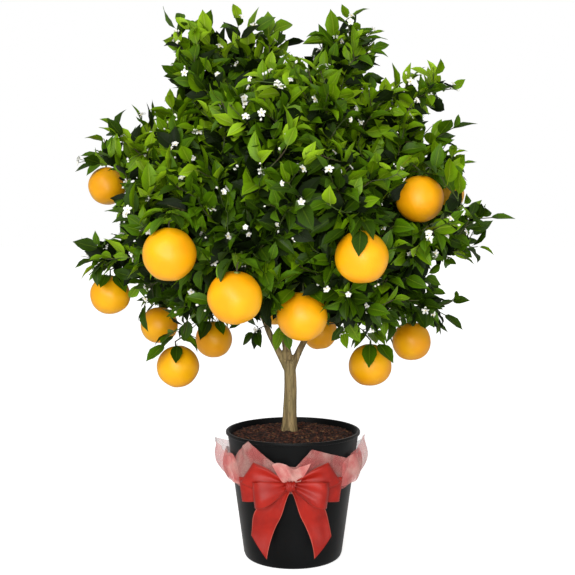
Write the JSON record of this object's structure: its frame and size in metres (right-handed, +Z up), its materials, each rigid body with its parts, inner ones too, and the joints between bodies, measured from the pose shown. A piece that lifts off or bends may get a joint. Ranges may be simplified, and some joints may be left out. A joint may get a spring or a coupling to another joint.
{
  "type": "small orange tree in a pot",
  "caption": "Small standard orange tree with a full leafy crown, hanging fruit and white blossom, in a round black pot dressed with a gauze wrap and a ribbon bow.",
  "frame": {"origin": "centre of the pot's flat underside", "axes": "+Z up; the bow is on the -Y side, which is the front; +X is to the right as seen from the front"},
  "size_m": [0.7023, 0.6428, 0.8946],
  "materials": {
    "pot": "satin black, thin walled",
    "soil": "damp shredded bark",
    "bark": "rough, fine upright streaks",
    "foliage": "satin leaves",
    "gauze": "sheer, crumpled",
    "ribbon": "satin ribbon"
  },
  "bodies": {
    "root": {"bough_left": "bark", "bough_middle": "bark", "bough_right": "bark", "bow_knot": "ribbon", "bow_loop_left": "ribbon", "bow_loop_right": "ribbon", "bow_tail_left": "ribbon", "bow_tail_right": "ribbon", "foliage_back_belly": "foliage", "foliage_back_low": "foliage", "foliage_back_shoulder": "foliage", "foliage_core_high": "foliage", "foliage_core_low": "foliage", "foliage_front_belly": "foliage", "foliage_front_low": "foliage", "foliage_front_shoulder": "foliage", "foliage_left_arm": "foliage", "foliage_left_back": "foliage", "foliage_left_back_skirt": "foliage", "foliage_left_front": "foliage", "foliage_left_front_skirt": "foliage", "foliage_left_low": "foliage", "foliage_left_shoulder": "foliage", "foliage_left_skirt": "foliage", "foliage_right_arm": "foliage", "foliage_right_back": "foliage", "foliage_right_back_skirt": "foliage", "foliage_right_front": "foliage", "foliage_right_front_skirt": "foliage", "foliage_right_low": "foliage", "foliage_right_shoulder": "foliage", "foliage_right_skirt": "foliage", "foliage_right_sprig": "foliage", "foliage_top_left": "foliage", "foliage_top_middle": "foliage", "foliage_top_right": "foliage", "gauze_wrap": "gauze", "pot": "pot", "soil": "soil", "trunk": "bark"}
  },
  "joints": []
}
